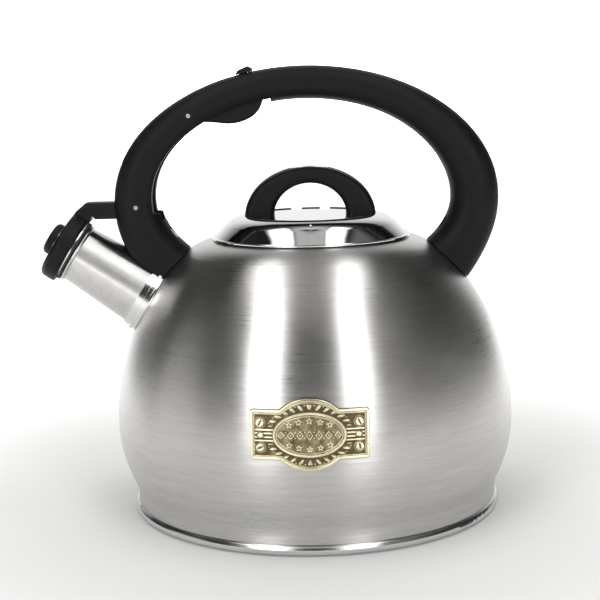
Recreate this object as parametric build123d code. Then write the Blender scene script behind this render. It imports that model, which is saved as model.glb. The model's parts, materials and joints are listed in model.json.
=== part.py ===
from build123d import *
import math
import os

# A stovetop whistling kettle, in millimetres and degrees.
# +Z is up, the origin is the centre of the base on the surface it rests on.
# The spout points towards -X, the badge faces -Y, and the grip lies in the XZ plane.

# ---- pot body ----
BODY_RADIUS = 103.3
WIDEST_HEIGHT = 47.0
SIDE_ARC_RADIUS = 124.0
SIDE_ARC_END = 28.0
DOME_ARC_RADIUS = 97.0
DOME_ARC_END = 50.0
SHOULDER_ARC_RADIUS = 28.0
BELLY_ARC_RADIUS = 68.0
BODY_WALL = 0.8
FOOT_STEP = 8.9
FOOT_NECK = 3.5
SEAM_HEIGHT = 5.6
MOUTH_LIP_RADIUS = 1.5
MOUTH_NECK_DEPTH = 3.5

# ---- bottom ----
BEAD_PROUD = 1.8
BEAD_THICKNESS = 5.2
BEAD_CLEARANCE_BELOW = 0.4
PAN_WALL = 0.8
LAP_HEIGHT = 5.0
LAP_WALL = 0.8
DISC_MARGIN = 12.4
DISC_THICKNESS = 1.6
CAP_WALL = 0.6

# ---- lid ----
LID_OVERLAP = 4.0
LID_FLANGE_WIDTH = 1.9
LID_WALL = 0.8
LID_LIFT_GAP = 0.4
LID_FLANGE_THICKNESS = 1.0
LID_SIDE_START = 38.0
LID_SIDE_RADIUS = 60.0
LID_SIDE_END = 46.0
LID_BROW_RADIUS = 16.0
LID_BROW_END = 84.0
LID_DISH_DEPTH = 0.5
LID_DISH_RIM = 0.8
LID_SEAM_LAP = 0.4
SKIRT_DEPTH = 8.0
SKIRT_WALL = 0.8
SKIRT_CLEARANCE = 0.7
VENT_RADIUS = 0.8
VENT_INSET = 6.5

# ---- lid loop handle ----
LOOP_EDGE_INSET = 0.9
LOOP_OUTER_RISE = 25.1
LOOP_FOOT_LENGTH = 15.0
LOOP_INNER_RISE = 16.8
LOOP_WIDTH = 21.0
LOOP_ROUNDING = 3.6
INLAY_LENGTH = 19.0
INLAY_WIDTH = 10.0
INLAY_DEPTH = 1.0
INLAY_PROUD = 0.25
LID_SCREW_RADIUS = 2.0
LID_SCREW_DEPTH = 11.0
LID_SCREW_HEAD_RADIUS = 3.8
LID_SCREW_HEAD = 2.2
WASHER_RADIUS = 5.5
WASHER_THICKNESS = 0.8
WASHER_CLEARANCE = 0.2

# ---- spout ----
SPOUT_ANGLE = 33.0
SPOUT_ROOT_ANGLE = 32.0
SPOUT_REACH = 44.4
SPOUT_TIP_RADIUS = 14.9
SPOUT_TAPER = 0.066
SPOUT_WALL = 0.8
SPOUT_ROOT_DEPTH = 18.0
LIP_RADIUS = 1.0
COLLAR_STANDOFF = 4.6
COLLAR_BAND = 3.0
COLLAR_BAND_STEP = 0.9
COLLAR_GROOVE = 0.6
COLLAR_BEAD = 1.6
COLLAR_BEAD_STEP = 2.0
COLLAR_FLANGE_STEP = 1.2
COLLAR_DEPTH = 12.0

# ---- main grip ----
GRIP_CENTRE_X = -2.0
GRIP_SIDE_INSET = 4.0
GRIP_SIDE_THICKNESS = 24.6
GRIP_ABOVE_MOUTH = 20.4
GRIP_OUTER_RISE = 67.6
GRIP_TOP_THICKNESS = 16.8
GRIP_OUTER_DROP = 80.0
GRIP_INNER_DROP = 40.5
GRIP_INNER_LOWER = 1.0
GRIP_WIDTH = 27.0
GRIP_ROUNDNESS = 2.45
GRIP_FOOT_ANGLE = 40.0
GRIP_SECTIONS = 10
GRIP_SECTION_POINTS = 16
GRIP_CLEARANCE = 0.4

# ---- recess, channel and slots in the grip ----
RECESS_DEPTH = 4.3
RECESS_LIFT = 1.2
RECESS_PAST_TIP = 4.1
RECESS_STEP_DROP = 3.6
RECESS_FLATTEN = 0.5
CHANNEL_WALL = 4.5
CHANNEL_WIDTH = 12.4
CHANNEL_DROP = 7.7
POCKET_WIDTH = 17.0
POCKET_BACK = 5.8
POCKET_PAST_TIP = 2.5
ARM_SLOT_RISE = 22.7

# ---- trigger ----
TRIGGER_PIN_ANGLE = 132.3
TRIGGER_HUB_RADIUS = 5.2
TRIGGER_TAIL_WIDTH = 10.6
TRIGGER_TAIL_THICKNESS = 6.0
TRIGGER_TAIL_BOW = 6.5
PADDLE_WIDTH = 15.8
PADDLE_REACH = 37.6
PADDLE_ROUNDING = 2.4
PADDLE_TIP_RISE = 7.3
PADDLE_HEEL = (0.186, -3.6)
PADDLE_UNDER = [(0.598, -4.6), (0.824, -2.0)]
PADDLE_OVER = [(0.971, 9.8), (0.652, 8.0), (0.279, 3.8), (0.186, 2.4)]
PADDLE_TIP_SLOPE = (0.25, 1)
HOOK_STEM_WIDTH = 6.0
HOOK_STEM_LENGTH = 4.0
HOOK_STEM_REACH = 28.0
HOOK_HEAD_WIDTH = 10.0
HOOK_HEAD_LENGTH = 9.6
HOOK_HEAD_HEIGHT = 2.2
HOOK_HEAD_SHOULDER = 1.2
HOOK_HEAD_TAPER = 2.3
HOOK_HEAD_SHIFT = 0.4
HOOK_STEM_ROOT = 12.0
HOOK_HEAD_SKIRT = 2.0
HOOK_TRAVEL = 5.0
HOOK_SLOT_CLEARANCE = 0.5
PIVOT_PIN_RADIUS = 1.1
PIN_RUNNING_CLEARANCE = 0.05
PIN_RECESS = 0.15

# ---- linkage to the spout lever ----
LEVER_PIN_ANGLE = 181.6
LINK_THROW = 9.75
LINK_REST_ANGLE = 5.0
LINK_PIN_RADIUS = 1.5
LINK_SLOT_CLEARANCE = 0.4
LINK_CHEEK_RADIUS = 3.2
LINK_GAP_WIDTH = 5.6
LINK_GAP_RADIUS = 8.4
FORK_WIDTH = 4.8
FORK_PRONG = 2.1
FORK_REACH = 13.2

# ---- spout lever and cap ----
LEVER_HUB_RADIUS = 5.4
LEVER_HUB_WIDTH = 10.6
LEVER_ARM_WIDTH = 11.6
LEVER_ARM_THICKNESS = 8.4
LEVER_ARM_DROP = 6.1
LEVER_BEND_ABOVE = 6.1
LEVER_BEND_BACK = 2.6
LEVER_ELBOW = 4.7
LEVER_NECK = 2.5
LEVER_STEP = 0.4
CAP_RADIUS = 19.0
CAP_START = 2.0
CAP_THICKNESS = 8.8
CAP_OUTER_ROUNDING = 3.2
CAP_INNER_ROUNDING = 1.4
CAP_ARM_ROUNDING = 1.6
SEAL_GAP = 0.35
SEAL_INNER_RADIUS = 11.4
SEAL_OUTER_RADIUS = 16.6
WHISTLE_PLATE_RADIUS = 17.3
WHISTLE_PLATE_SHIFT = 2.0
WHISTLE_PLATE_THICKNESS = 0.6
WHISTLE_DRUM_RADIUS = 10.0
WHISTLE_DRUM_DEPTH = 3.4
WHISTLE_WALL = 0.6
WHISTLE_HOLE_RADIUS = 1.4
STEAM_HOLE_CIRCLE = 6.2
STEAM_HOLE_COUNT = 3
STEAM_GROOVE_DEPTH = 3.0
STEAM_GROOVE_WIDTH = 3.2
TRIM_RADIUS = 9.7
TRIM_THICKNESS = 0.6
DOME_RADIUS = 8.6
DOME_HEIGHT = 4.3
DOME_ROUNDING = 2.6
DOME_SOCKET_RADIUS = 3.3
DOME_SOCKET_DEPTH = 2.2
CAP_SCREW_RADIUS = 1.5
CAP_SCREW_HEAD_RADIUS = 2.9
CAP_SCREW_HEAD = 1.7

# ---- brackets and screws that hold the grip ----
BRACKET_ANGLE = 48.0
BRACKET_PLATE = 2.5
BRACKET_WIDTH = 12.0
BRACKET_HEIGHT = 17.0
BRACKET_FLANGE_LENGTH = 7.0
BRACKET_FLANGE = 1.2
BRACKET_SINK = 4.0
BRACKET_POCKET_CLEARANCE = 0.3
GRIP_SCREW_HEIGHT = 11.5
GRIP_SCREW_RADIUS = 2.0
GRIP_SCREW_END = 4.5
GRIP_SCREW_HEAD_RADIUS = 3.7
GRIP_SCREW_HEAD_START = 3.6
GRIP_SCREW_HEAD = 2.4
GRIP_SCREW_CLEARANCE = 0.3
SCREW_SLOT_WIDTH = 0.8
SCREW_SLOT_DEPTH = 0.9
SCREW_CROSS_SHARE = 0.65

# ---- return spring ----
SPRING_REACH = 15.0
SPRING_RADIUS = 2.6
SPRING_WIRE = 0.7
SPRING_TURNS = 3.5
SPRING_GAP = 0.3
SPRING_SEAT = 6.4

# ---- badge ----
BADGE_LENGTH = 54.5
BADGE_HEIGHT = 23.0
BADGE_LOBE_LENGTH = 38.0
BADGE_LOBE_HEIGHT = 33.0
BADGE_CENTRE_Z = 61.0
BADGE_TURN = -1.5
BADGE_THICKNESS = 1.6
BADGE_PAD = 0.5
BADGE_PAD_MARGIN = 2.0
BADGE_CORNER = 1.5

# ---- general ----
JOINT_GAP = 0.03
CUTTER = 60.0
CUT_PAST = 1.0


# ---- helpers ----
def arc_chain(start, angle, arcs):
    """Tangent arcs in the XZ plane; each is (radius, end angle of its outward normal)."""
    edges = []
    place = start
    for radius, end_angle in arcs:
        centre = place - polar(radius, angle)
        middle = centre + polar(radius, (angle + end_angle) / 2)
        end = centre + polar(radius, end_angle)
        edges.append(ThreePointArc(place, middle, end))
        place = end
        angle = end_angle
    return edges


def polar(radius, degrees):
    """Vector in the XZ plane from its length and its angle above +X."""
    turn = math.radians(degrees)
    return Vector(radius * math.cos(turn), 0, radius * math.sin(turn))


def chain_offset(edges, distance):
    """Copy of a chain of XZ lines and arcs moved sideways, outwards when distance is positive."""
    moved = []
    for edge in edges:
        points = []
        for place in (0, 0.5, 1):
            tangent = edge.tangent_at(place)
            outwards = Vector(tangent.Z, 0, -tangent.X)
            points.append(edge.position_at(place) + outwards * distance)
        straight = edge.geom_type == GeomType.LINE
        moved.append(Line(points[0], points[2]) if straight else ThreePointArc(*points))
    return moved


def layer(edges, inner, outer):
    """Shell of revolution between two offsets of a chain of XZ edges."""
    near = chain_offset(edges, inner)
    far = chain_offset(edges, outer)
    start = Line(near[0] @ 0, far[0] @ 0)
    end = Line(near[-1] @ 1, far[-1] @ 1)
    return revolve(make_face([*near, end, *far, start]), Axis.Z)


def filled(edges, outer):
    """Solid of revolution inside an offset of a chain of XZ edges, closed on the axis."""
    skin = chain_offset(edges, outer)
    low = skin[0] @ 0
    high = skin[-1] @ 1
    sides = Polyline(high, (0, 0, high.Z), (0, 0, low.Z), low)
    return revolve(make_face([*skin, sides]), Axis.Z)


def ring(inner, outer, low, high):
    """Ring about the Z axis between two radii and two heights."""
    hoop = Pos(0, 0, low) * extrude(Circle(outer), high - low)
    if inner <= 0:
        return hoop
    return hoop - Pos(0, 0, low - CUT_PAST) * extrude(Circle(inner), high - low + 2 * CUT_PAST)


def side_view(sketch, width):
    """Extrudes an outline drawn in X and Z equally to both sides of the XZ plane."""
    return extrude(Plane.XZ * sketch, width / 2, both=True)


def cross_pin(x, z, radius, width):
    """Pin along Y, centred on the XZ plane."""
    return side_view(Pos(x, z) * Circle(radius), width)


# ---- shared outlines and frames ----
FOOT_RADIUS = BODY_RADIUS - FOOT_STEP


def pot_side():
    """Outer outline of the pot as a chain of edges, from its seam up to the top of its mouth."""
    rise = WIDEST_HEIGHT - SEAM_HEIGHT - FOOT_NECK
    foot_arc_radius = (FOOT_STEP**2 + rise**2) / (2 * FOOT_STEP) - BELLY_ARC_RADIUS
    turn = math.degrees(math.asin(rise / (foot_arc_radius + BELLY_ARC_RADIUS)))
    foot = Vector(FOOT_RADIUS, 0, SEAM_HEIGHT)
    neck_top = Vector(FOOT_RADIUS, 0, SEAM_HEIGHT + FOOT_NECK)
    widest = Vector(BODY_RADIUS, 0, WIDEST_HEIGHT)
    foot_centre = neck_top + Vector(foot_arc_radius, 0, 0)
    foot_arc_end = foot_centre + polar(foot_arc_radius, 180 - turn)
    foot_arc_middle = foot_centre + polar(foot_arc_radius, 180 - turn / 2)
    foot_arc = ThreePointArc(neck_top, foot_arc_middle, foot_arc_end)
    belly = arc_chain(foot_arc_end, -turn, [(BELLY_ARC_RADIUS, 0)])
    above = [
        (SIDE_ARC_RADIUS, SIDE_ARC_END),
        (DOME_ARC_RADIUS, DOME_ARC_END),
        (SHOULDER_ARC_RADIUS, 90),
    ]
    return [Line(foot, neck_top), foot_arc, *belly, *arc_chain(widest, 0, above)]


def pot_point(degrees):
    """Point on the pot's dome arc where its outward normal has the given angle above +X."""
    widest = Vector(BODY_RADIUS - SIDE_ARC_RADIUS, 0, WIDEST_HEIGHT)
    arc_start = widest + polar(SIDE_ARC_RADIUS - DOME_ARC_RADIUS, SIDE_ARC_END)
    return arc_start + polar(DOME_ARC_RADIUS, degrees)


POT_SIDE = pot_side()
POT_TOP = POT_SIDE[-1] @ 1
POT_LIP = arc_chain(POT_TOP, 90, [(MOUTH_LIP_RADIUS, 180)])
MOUTH_RADIUS = POT_TOP.X - MOUTH_LIP_RADIUS
LID_RADIUS = POT_TOP.X + LID_OVERLAP
LID_FLANGE_INNER = LID_RADIUS - LID_FLANGE_WIDTH
LID_FLANGE_LOW = POT_TOP.Z + LID_LIFT_GAP
LID_FLANGE_TOP = LID_FLANGE_LOW + LID_FLANGE_THICKNESS
LID_SIDE = arc_chain(
    Vector(LID_FLANGE_INNER, 0, LID_FLANGE_TOP),
    LID_SIDE_START,
    [(LID_SIDE_RADIUS, LID_SIDE_END), (LID_BROW_RADIUS, LID_BROW_END)],
)
LID_TOP_RADIUS = (LID_SIDE[-1] @ 1).X
LID_TOP_HEIGHT = (LID_SIDE[-1] @ 1).Z
LID_DISH_Z = LID_TOP_HEIGHT - LID_DISH_DEPTH
LOOP_OUTER_HALF = LID_TOP_RADIUS - LOOP_EDGE_INSET
LOOP_INNER_HALF = LOOP_OUTER_HALF - LOOP_FOOT_LENGTH
LID_SCREW_PLACE = (LOOP_OUTER_HALF + LOOP_INNER_HALF) / 2
SPOUT_OUT = polar(1, 180 - SPOUT_ANGLE)
SPOUT_DOWN = polar(1, 270 - SPOUT_ANGLE)
SPOUT_ROOT = Vector(-pot_point(SPOUT_ROOT_ANGLE).X, 0, pot_point(SPOUT_ROOT_ANGLE).Z)
SPOUT_MOUTH = SPOUT_ROOT + SPOUT_OUT * SPOUT_REACH
SPOUT_FRAME = Plane(origin=SPOUT_MOUTH, x_dir=SPOUT_DOWN, z_dir=SPOUT_OUT).location
SPOUT_LENGTH = SPOUT_REACH + SPOUT_ROOT_DEPTH
COLLAR_START = SPOUT_REACH - COLLAR_STANDOFF
GRIP_CENTRE_Z = POT_TOP.Z + GRIP_ABOVE_MOUTH
GRIP_OUTER_HALF = BODY_RADIUS - GRIP_SIDE_INSET
GRIP_INNER_HALF = GRIP_OUTER_HALF - GRIP_SIDE_THICKNESS
GRIP_INNER_CENTRE_Z = GRIP_CENTRE_Z - GRIP_INNER_LOWER
GRIP_INNER_RISE = GRIP_OUTER_RISE - GRIP_TOP_THICKNESS + GRIP_INNER_LOWER


def grip_outline(degrees):
    """Outer and inner points of the grip at one angle round its loop, from the rear foot."""
    turn = math.radians(degrees)
    upper = 0 <= degrees <= 180
    outer_height = GRIP_OUTER_RISE if upper else GRIP_OUTER_DROP
    inner_height = GRIP_INNER_RISE if upper else GRIP_INNER_DROP
    outer_z = GRIP_CENTRE_Z + outer_height * math.sin(turn)
    inner_z = GRIP_INNER_CENTRE_Z + inner_height * math.sin(turn)
    outer = Vector(GRIP_CENTRE_X + GRIP_OUTER_HALF * math.cos(turn), 0, outer_z)
    inner = Vector(GRIP_CENTRE_X + GRIP_INNER_HALF * math.cos(turn), 0, inner_z)
    return outer, inner


def grip_middle(degrees):
    """Point half-way through the grip's thickness at one angle round its loop."""
    outer, inner = grip_outline(degrees)
    return (outer + inner) * 0.5


TRIGGER_PIN = grip_middle(TRIGGER_PIN_ANGLE)
LEVER_PIN = grip_middle(LEVER_PIN_ANGLE)
LINK_ARM = (LEVER_PIN - TRIGGER_PIN).length - LINK_THROW
PADDLE_TIP_X = TRIGGER_PIN.X + PADDLE_REACH
HOOK_STEM_X = TRIGGER_PIN.X + HOOK_STEM_REACH
LEVER_ARM_LOW_Z = LEVER_PIN.Z - LEVER_ARM_DROP


def link_pin_place():
    """Centre of the link pin at rest, on the trigger's tail, outside the line of the pivots."""
    along = (LEVER_PIN - TRIGGER_PIN).normalized()
    outward = Vector(along.Z, 0, -along.X)
    turn = math.radians(LINK_REST_ANGLE)
    reach = along * math.cos(turn) + outward * math.sin(turn)
    return TRIGGER_PIN + reach * LINK_ARM


LINK_PIN = link_pin_place()


def foot_frame(side):
    """Frame of a bracket on the pot: Z out of the pot, X down its side; side is 1 rear, -1 front."""
    seat = pot_point(BRACKET_ANGLE)
    normal = polar(1, BRACKET_ANGLE)
    origin = (seat.X * side, 0, seat.Z)
    down = (normal.Z * side, 0, -normal.X)
    out = (normal.X * side, 0, normal.Z)
    return Plane(origin=origin, x_dir=down, z_dir=out).location


FEET = (1, -1)
PIVOT_BORE_RADIUS = PIVOT_PIN_RADIUS - JOINT_GAP + PIN_RUNNING_CLEARANCE


# ---- pot ----
def spout_cone(extra, start, end):
    """Cone about the spout's axis, its wall line moved out by extra, from start to end inwards."""
    near = SPOUT_TIP_RADIUS + extra + SPOUT_TAPER * start
    far = SPOUT_TIP_RADIUS + extra + SPOUT_TAPER * end
    corners = [(0, 0, -start), (near, 0, -start), (far, 0, -end), (0, 0, -end)]
    return SPOUT_FRAME * revolve(make_face(Polyline(*corners, close=True)), Axis.Z)


def body_shell():
    """Deep-drawn pot with a turned-down neck at its mouth and a hole for the spout."""
    lip_end = POT_LIP[0] @ 1
    neck = Line(lip_end, lip_end - Vector(0, 0, MOUTH_NECK_DEPTH))
    shell = layer([*POT_SIDE, *POT_LIP, neck], -BODY_WALL, 0)
    return shell - spout_cone(-SPOUT_WALL, COLLAR_START / 2, SPOUT_LENGTH)


def base_pan():
    """Bottom plate with the rolled bead under the pot and a lap ring inside the pot's foot."""
    bead_radius = BEAD_THICKNESS / 2
    bead_centre = FOOT_RADIUS + BEAD_PROUD - bead_radius
    bead_height = BEAD_CLEARANCE_BELOW + bead_radius
    bead = revolve(Plane.XZ * Pos(bead_centre, bead_height) * Circle(bead_radius), Axis.Z)
    floor_low = CAP_WALL + DISC_THICKNESS
    floor = ring(0, bead_centre, floor_low, floor_low + PAN_WALL)
    lap_outer = FOOT_RADIUS - BODY_WALL - JOINT_GAP
    lap = ring(lap_outer - LAP_WALL, lap_outer, bead_height, SEAM_HEIGHT + LAP_HEIGHT)
    trim_outer = FOOT_RADIUS + BEAD_PROUD + CUT_PAST
    trim = ring(lap_outer + JOINT_GAP, trim_outer, SEAM_HEIGHT - JOINT_GAP, SEAM_HEIGHT + LAP_HEIGHT)
    return bead + floor + lap - trim


def heat_disc():
    """Aluminium disc that spreads the heat, sandwiched under the floor."""
    return ring(0, FOOT_RADIUS - DISC_MARGIN, CAP_WALL, CAP_WALL + DISC_THICKNESS)


def base_cap():
    """Thin steel cup over the aluminium disc; its flat face is what the kettle stands on."""
    rim_height = CAP_WALL + DISC_THICKNESS
    cup = ring(0, FOOT_RADIUS - DISC_MARGIN + CAP_WALL, 0, rim_height)
    lower_edge = cup.edges().group_by(Axis.Z)[0]
    cup = fillet(lower_edge, CAP_WALL * 0.8)
    return cup - ring(0, FOOT_RADIUS - DISC_MARGIN, CAP_WALL, rim_height + CUT_PAST)


# ---- spout ----
def spout_tube():
    """Tapered pouring tube with a rolled lip, trimmed to the outside of the pot."""
    tube = spout_cone(0, 0, SPOUT_LENGTH)
    lip_section = Pos(SPOUT_TIP_RADIUS + LIP_RADIUS / 4, -LIP_RADIUS) * Circle(LIP_RADIUS)
    lip = revolve(Plane.XZ * lip_section, Axis.Z)
    tube = tube + SPOUT_FRAME * lip - spout_cone(-SPOUT_WALL, -CUT_PAST, SPOUT_LENGTH + CUT_PAST)
    return tube - filled(POT_SIDE, JOINT_GAP)


def collar_rings(extra):
    """Stepped rings round the foot of the spout, grown by extra."""
    step_1 = COLLAR_START + COLLAR_BAND
    step_2 = step_1 + COLLAR_GROOVE
    step_3 = step_2 + COLLAR_BEAD
    band = spout_cone(COLLAR_BAND_STEP + extra, COLLAR_START - extra, step_1 + extra)
    bead = spout_cone(COLLAR_BEAD_STEP + extra, step_2 - extra, step_3 + extra)
    flange = spout_cone(COLLAR_FLANGE_STEP + extra, step_3, COLLAR_START + COLLAR_DEPTH)
    groove_floor = spout_cone(COLLAR_BAND_STEP / 2 + extra, COLLAR_START, step_3)
    return band + bead + groove_floor + flange


def spout_collar():
    """Welded collar that covers the joint between the spout and the pot."""
    rings = collar_rings(0) - spout_cone(JOINT_GAP, 0, SPOUT_LENGTH)
    return rings - filled(POT_SIDE, JOINT_GAP)


# ---- grip ----
def grip_section(degrees):
    """Rounded cross-section of the grip in the plane that crosses its loop at one angle."""
    outer, inner = grip_outline(degrees)
    centre = grip_middle(degrees)
    half = (outer - inner) * 0.5
    points = []
    for step in range(GRIP_SECTION_POINTS):
        turn = 2 * math.pi * step / GRIP_SECTION_POINTS
        power = 2 / GRIP_ROUNDNESS
        across = math.copysign(abs(math.cos(turn)) ** power, math.cos(turn))
        sideways = math.copysign(abs(math.sin(turn)) ** power, math.sin(turn))
        points.append(centre + half * across + Vector(0, sideways * GRIP_WIDTH / 2, 0))
    return make_face(Spline(*points, periodic=True))


def grip_loft():
    """The grip's solid loop before anything is cut from it."""
    span = 180 + 2 * GRIP_FOOT_ANGLE
    angles = [-GRIP_FOOT_ANGLE + span * step / (GRIP_SECTIONS - 1) for step in range(GRIP_SECTIONS)]
    return loft([grip_section(degrees).face() for degrees in angles])


def inside_roof():
    """Outline inside the grip's outer wall, from which its channel and pocket are cut."""
    half = GRIP_OUTER_HALF - CHANNEL_WALL
    rise = GRIP_OUTER_RISE - CHANNEL_WALL
    return Pos(GRIP_CENTRE_X, GRIP_CENTRE_Z) * Ellipse(half, rise)


def zone(left, right, low, high):
    """Rectangle in the XZ plane between two X and two Z values."""
    return Pos((left + right) / 2, (low + high) / 2) * Rectangle(right - left, high - low)


def channel():
    """Hollow for the trigger and the lever: an arc channel, a wider finger pocket, two slots."""
    top = GRIP_CENTRE_Z + GRIP_OUTER_RISE
    left = GRIP_CENTRE_X - GRIP_OUTER_HALF - CUT_PAST
    floor = LEVER_PIN.Z - CHANNEL_DROP
    end = PADDLE_TIP_X + POCKET_PAST_TIP
    arc = side_view(inside_roof() & zone(left, end, floor, top), CHANNEL_WIDTH)
    pocket_area = zone(TRIGGER_PIN.X + POCKET_BACK, end, floor, top)
    pocket = side_view(inside_roof() & pocket_area, POCKET_WIDTH)
    arm_slot = side_view(zone(left, LEVER_PIN.X, floor, LEVER_PIN.Z + ARM_SLOT_RISE), CHANNEL_WIDTH)
    hook_low = HOOK_STEM_X - HOOK_STEM_LENGTH / 2 - HOOK_TRAVEL - HOOK_SLOT_CLEARANCE
    hook_high = HOOK_STEM_X + HOOK_STEM_LENGTH / 2 + HOOK_SLOT_CLEARANCE
    hook_width = HOOK_STEM_WIDTH + 2 * HOOK_SLOT_CLEARANCE
    hook_slot = side_view(zone(hook_low, hook_high, TRIGGER_PIN.Z, top + CUT_PAST), hook_width)
    return arc + pocket + arm_slot + hook_slot


def recess():
    """Shallow step-back of the grip's inner face along the channel."""
    outline = Ellipse(GRIP_INNER_HALF + RECESS_DEPTH, GRIP_INNER_RISE - RECESS_FLATTEN)
    left = GRIP_CENTRE_X - GRIP_OUTER_HALF
    top = GRIP_CENTRE_Z + GRIP_OUTER_RISE
    area = zone(left, PADDLE_TIP_X + RECESS_PAST_TIP, LEVER_PIN.Z - RECESS_STEP_DROP, top)
    outline = Pos(GRIP_CENTRE_X, GRIP_CENTRE_Z + RECESS_LIFT) * outline
    return side_view(outline & area, GRIP_WIDTH + 2 * CUT_PAST)


def bracket(side, grow):
    """Welded bracket in one foot of the grip, or the pocket for it when grown by a clearance."""
    width = BRACKET_WIDTH + 2 * grow
    plate_top = BRACKET_HEIGHT + grow
    plate = Box(BRACKET_PLATE + 2 * grow, width, plate_top + BRACKET_SINK)
    flange_top = BRACKET_FLANGE + grow
    flange = Box(BRACKET_FLANGE_LENGTH + 2 * grow, width, flange_top + BRACKET_SINK)
    plate = Pos(0, 0, (plate_top - BRACKET_SINK) / 2) * plate
    flange = Pos(0, 0, (flange_top - BRACKET_SINK) / 2) * flange
    return foot_frame(side) * (plate + flange)


def weld_bracket(side):
    """Bracket with its screw hole, standing on the outside of the pot."""
    hole = Pos(0, 0, GRIP_SCREW_HEIGHT) * Rot(0, 90, 0) * Cylinder(GRIP_SCREW_RADIUS, CUTTER)
    return bracket(side, 0) - filled(POT_SIDE, JOINT_GAP) - foot_frame(side) * hole


def grip_screw(side, grow):
    """Screw through the inner face of a foot into its bracket, or the hole for it when grown."""
    head_start = GRIP_SCREW_HEAD_START
    head_length = GRIP_SCREW_HEAD + (CUTTER / 2 if grow else 0)
    lying = Rot(0, 90, 0)
    shank = lying * Cylinder(GRIP_SCREW_RADIUS + grow, head_start + GRIP_SCREW_END + 2 * grow)
    head = lying * Cylinder(GRIP_SCREW_HEAD_RADIUS + grow, head_length)
    shank = Pos((GRIP_SCREW_END - head_start) / 2, 0, 0) * shank
    head = Pos(-head_start - head_length / 2, 0, 0) * head
    return foot_frame(side) * Pos(0, 0, GRIP_SCREW_HEIGHT) * (shank + head)


def screw_slot(side):
    """Cross recess in the head of a grip screw."""
    blade = 2 * GRIP_SCREW_HEAD_RADIUS * SCREW_CROSS_SHARE
    upright = Box(2 * SCREW_SLOT_DEPTH, SCREW_SLOT_WIDTH, blade)
    level = Box(2 * SCREW_SLOT_DEPTH, blade, SCREW_SLOT_WIDTH)
    place = Pos(-GRIP_SCREW_HEAD_START - GRIP_SCREW_HEAD, 0, GRIP_SCREW_HEIGHT)
    return foot_frame(side) * place * (upright + level)


def handle_shell():
    """Moulded loop grip, cut to the pot, the spout, the brackets, the screws and the linkage."""
    grip = grip_loft() - filled(POT_SIDE, GRIP_CLEARANCE)
    grip -= spout_cone(GRIP_CLEARANCE, 0, SPOUT_LENGTH)
    grip -= collar_rings(GRIP_CLEARANCE)
    grip -= recess()
    grip -= channel()
    for side in FEET:
        grip -= bracket(side, BRACKET_POCKET_CLEARANCE)
        grip -= grip_screw(side, GRIP_SCREW_CLEARANCE)
    for pin in (TRIGGER_PIN, LEVER_PIN):
        grip -= cross_pin(pin.X, pin.Z, PIVOT_PIN_RADIUS, GRIP_WIDTH + 2 * CUT_PAST)
    return grip


def grip_screws():
    """The two screws that hold the grip to its brackets."""
    screws = [grip_screw(side, 0) - screw_slot(side) for side in FEET]
    return Compound(children=[solid for screw in screws for solid in screw.solids()])


def pivot_pin(place):
    """Steel pivot pin pressed through both cheeks of the grip."""
    return cross_pin(place.X, place.Z, PIVOT_PIN_RADIUS - JOINT_GAP, GRIP_WIDTH - 2 * PIN_RECESS)


# ---- trigger ----
def tail_path():
    """Bowed centre line of the trigger's tail, from its pivot to the link pin."""
    chord = LINK_PIN - TRIGGER_PIN
    outward = Vector(chord.Z, 0, -chord.X).normalized()
    middle = (TRIGGER_PIN + LINK_PIN) * 0.5 + outward * TRIGGER_TAIL_BOW
    places = [(point.X, point.Z) for point in (TRIGGER_PIN, middle, LINK_PIN)]
    return ThreePointArc(*places)


def grip_top_z(x, inset):
    """Height of the grip's outer line at one X, moved inwards by inset."""
    share = (x - GRIP_CENTRE_X) / (GRIP_OUTER_HALF - inset)
    return GRIP_CENTRE_Z + (GRIP_OUTER_RISE - inset) * math.sqrt(1 - share * share)


def paddle_point(place):
    """Point of the paddle's side view from its share of the reach and its rise."""
    return (PADDLE_REACH * place[0], place[1])


def paddle():
    """Leaf-shaped finger paddle with rounded lower edges, placed from the trigger's pivot."""
    heel = paddle_point(PADDLE_HEEL)
    tip = (PADDLE_REACH, PADDLE_TIP_RISE)
    below = [paddle_point(place) for place in PADDLE_UNDER]
    above = [paddle_point(place) for place in PADDLE_OVER]
    under = Spline(heel, *below, tip, tangents=[(1, 0), PADDLE_TIP_SLOPE])
    outline = Pos(TRIGGER_PIN.X, TRIGGER_PIN.Z) * make_face([under, Polyline(tip, *above, heel)])
    blade = side_view(outline, PADDLE_WIDTH)
    long_edges = [edge for edge in blade.edges() if edge.length > PADDLE_REACH * 0.75]
    return fillet(long_edges, PADDLE_ROUNDING)


def hook():
    """Stop hook that rises from the paddle through the grip and bears on its top."""
    root = grip_top_z(HOOK_STEM_X, CHANNEL_WALL) - HOOK_STEM_ROOT
    stem_top = grip_top_z(HOOK_STEM_X, 0) + HOOK_HEAD_SHOULDER
    half = HOOK_STEM_LENGTH / 2
    stem = side_view(zone(HOOK_STEM_X - half, HOOK_STEM_X + half, root, stem_top), HOOK_STEM_WIDTH)
    left = HOOK_STEM_X - HOOK_HEAD_LENGTH / 2 - HOOK_HEAD_SHIFT
    right = left + HOOK_HEAD_LENGTH
    left_low = grip_top_z(left, 0) + GRIP_CLEARANCE
    right_low = grip_top_z(right, 0) + GRIP_CLEARANCE
    corners = [
        (left, left_low - HOOK_HEAD_SKIRT),
        (right, right_low - HOOK_HEAD_SKIRT),
        (right, right_low + HOOK_HEAD_SHOULDER),
        (right - HOOK_HEAD_TAPER, right_low + HOOK_HEAD_HEIGHT),
        (left + HOOK_HEAD_TAPER, left_low + HOOK_HEAD_HEIGHT),
    ]
    head = side_view(make_face(Polyline(*corners, close=True)), HOOK_HEAD_WIDTH)
    return stem + (head - Pos(0, 0, GRIP_CLEARANCE) * grip_loft())


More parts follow.
